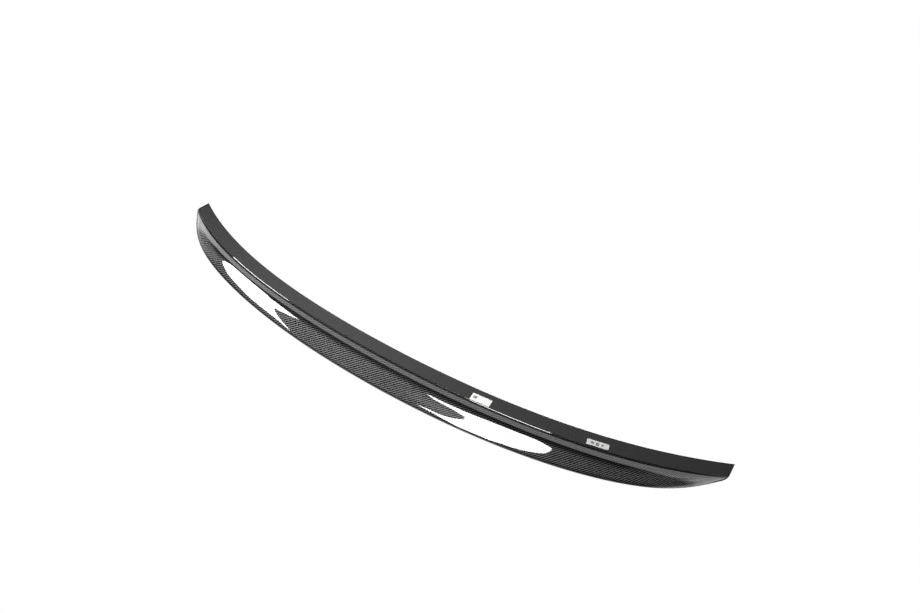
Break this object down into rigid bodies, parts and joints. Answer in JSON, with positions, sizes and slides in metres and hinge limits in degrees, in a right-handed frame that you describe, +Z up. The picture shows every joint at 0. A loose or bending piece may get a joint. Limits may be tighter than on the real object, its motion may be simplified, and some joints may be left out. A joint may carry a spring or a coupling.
{
  "type": "car rear spoiler",
  "caption": "Bowed hollow boot lid spoiler with an upswept rounded lip and a flat bonding side closed by a matt backing panel.",
  "frame": {"origin": "middle of the outline's bounding box on the bonding plane, the lowest plane of the part as fitted", "axes": "+X across the car, +Y to the front of the car, +Z up, as fitted on a boot lid; the lip is at -Y and up"},
  "size_m": [1.15, 0.1766, 0.0459],
  "materials": {
    "carbon_gloss": "clear-coated 2/2 twill carbon weave",
    "matt_backing": "matt moulded reverse",
    "label_paper": "matt white"
  },
  "bodies": {
    "root": {"outer_shell": "carbon_gloss", "backing_panel": "matt_backing", "label_inner": "label_paper", "label_outer": "label_paper"}
  },
  "joints": []
}
